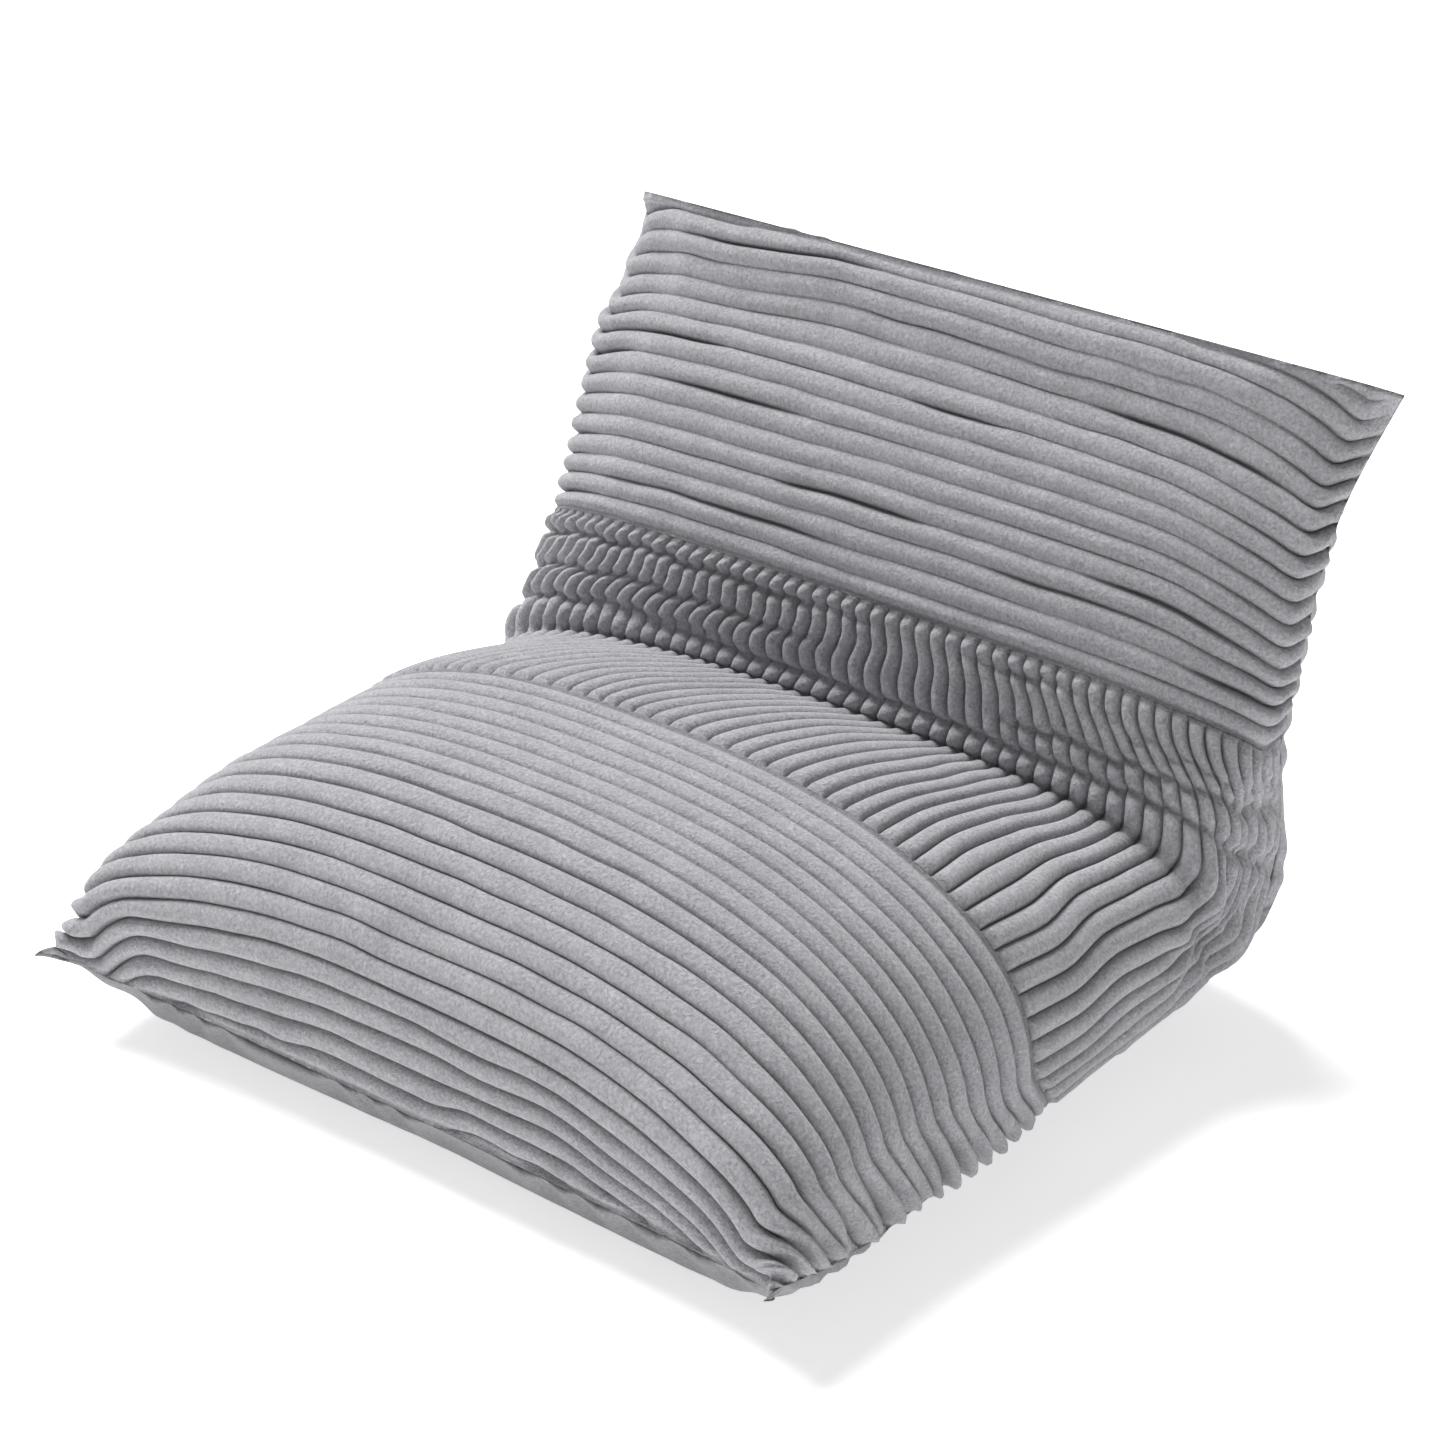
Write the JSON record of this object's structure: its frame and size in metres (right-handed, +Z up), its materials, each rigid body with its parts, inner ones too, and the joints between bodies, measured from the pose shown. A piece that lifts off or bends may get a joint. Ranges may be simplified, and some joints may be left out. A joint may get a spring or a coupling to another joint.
{
  "type": "bean bag chair",
  "caption": "L-shaped floor lounger bean bag in light grey ribbed plush, pillow-like seat and backrest of one bag with a gathered lumbar crease, foam fill in a liner, zip across the heel",
  "frame": {"origin": "on the floor under the middle of the bag's bounding box", "axes": "+Z up, +Y towards the backrest, X across the seat"},
  "size_m": [0.8752, 0.882, 0.63],
  "materials": {
    "ribbed_plush": "wide-wale short pile plush",
    "smooth_plush": "smooth short pile plush",
    "liner_cloth": "nonwoven liner cloth",
    "shredded_foam": "packed shredded foam",
    "zip_tape": "woven tape",
    "zip_coil": "moulded nylon coil",
    "zip_metal": "satin nickel"
  },
  "bodies": {
    "bag": {"seat_panel": "ribbed_plush", "lumbar_band": "ribbed_plush", "backrest_panel": "ribbed_plush", "rear_panel": "smooth_plush", "base_panel": "smooth_plush", "liner_front": "liner_cloth", "liner_rear": "liner_cloth", "foam_fill": "shredded_foam", "zip_tape_upper": "zip_tape", "zip_tape_lower": "zip_tape", "zip_coil_upper": "zip_coil", "zip_coil_lower": "zip_coil", "zip_top_stop": "zip_metal", "zip_bottom_stop": "zip_metal"},
    "slider": {"zip_slider": "zip_metal"},
    "pull": {"zip_pull_tab": "zip_metal"}
  },
  "joints": [
    {"name": "zip_slide", "type": "slide", "parent": "bag", "child": "slider", "axis": [-1, 0, 0], "range_m": [0, 0.467]},
    {"name": "pull_hinge", "type": "hinge", "parent": "slider", "child": "pull", "pos_m": [0.23375, 0.35885, 0.11], "axis": [0, 0, -1], "range_deg": [0, 170]}
  ]
}
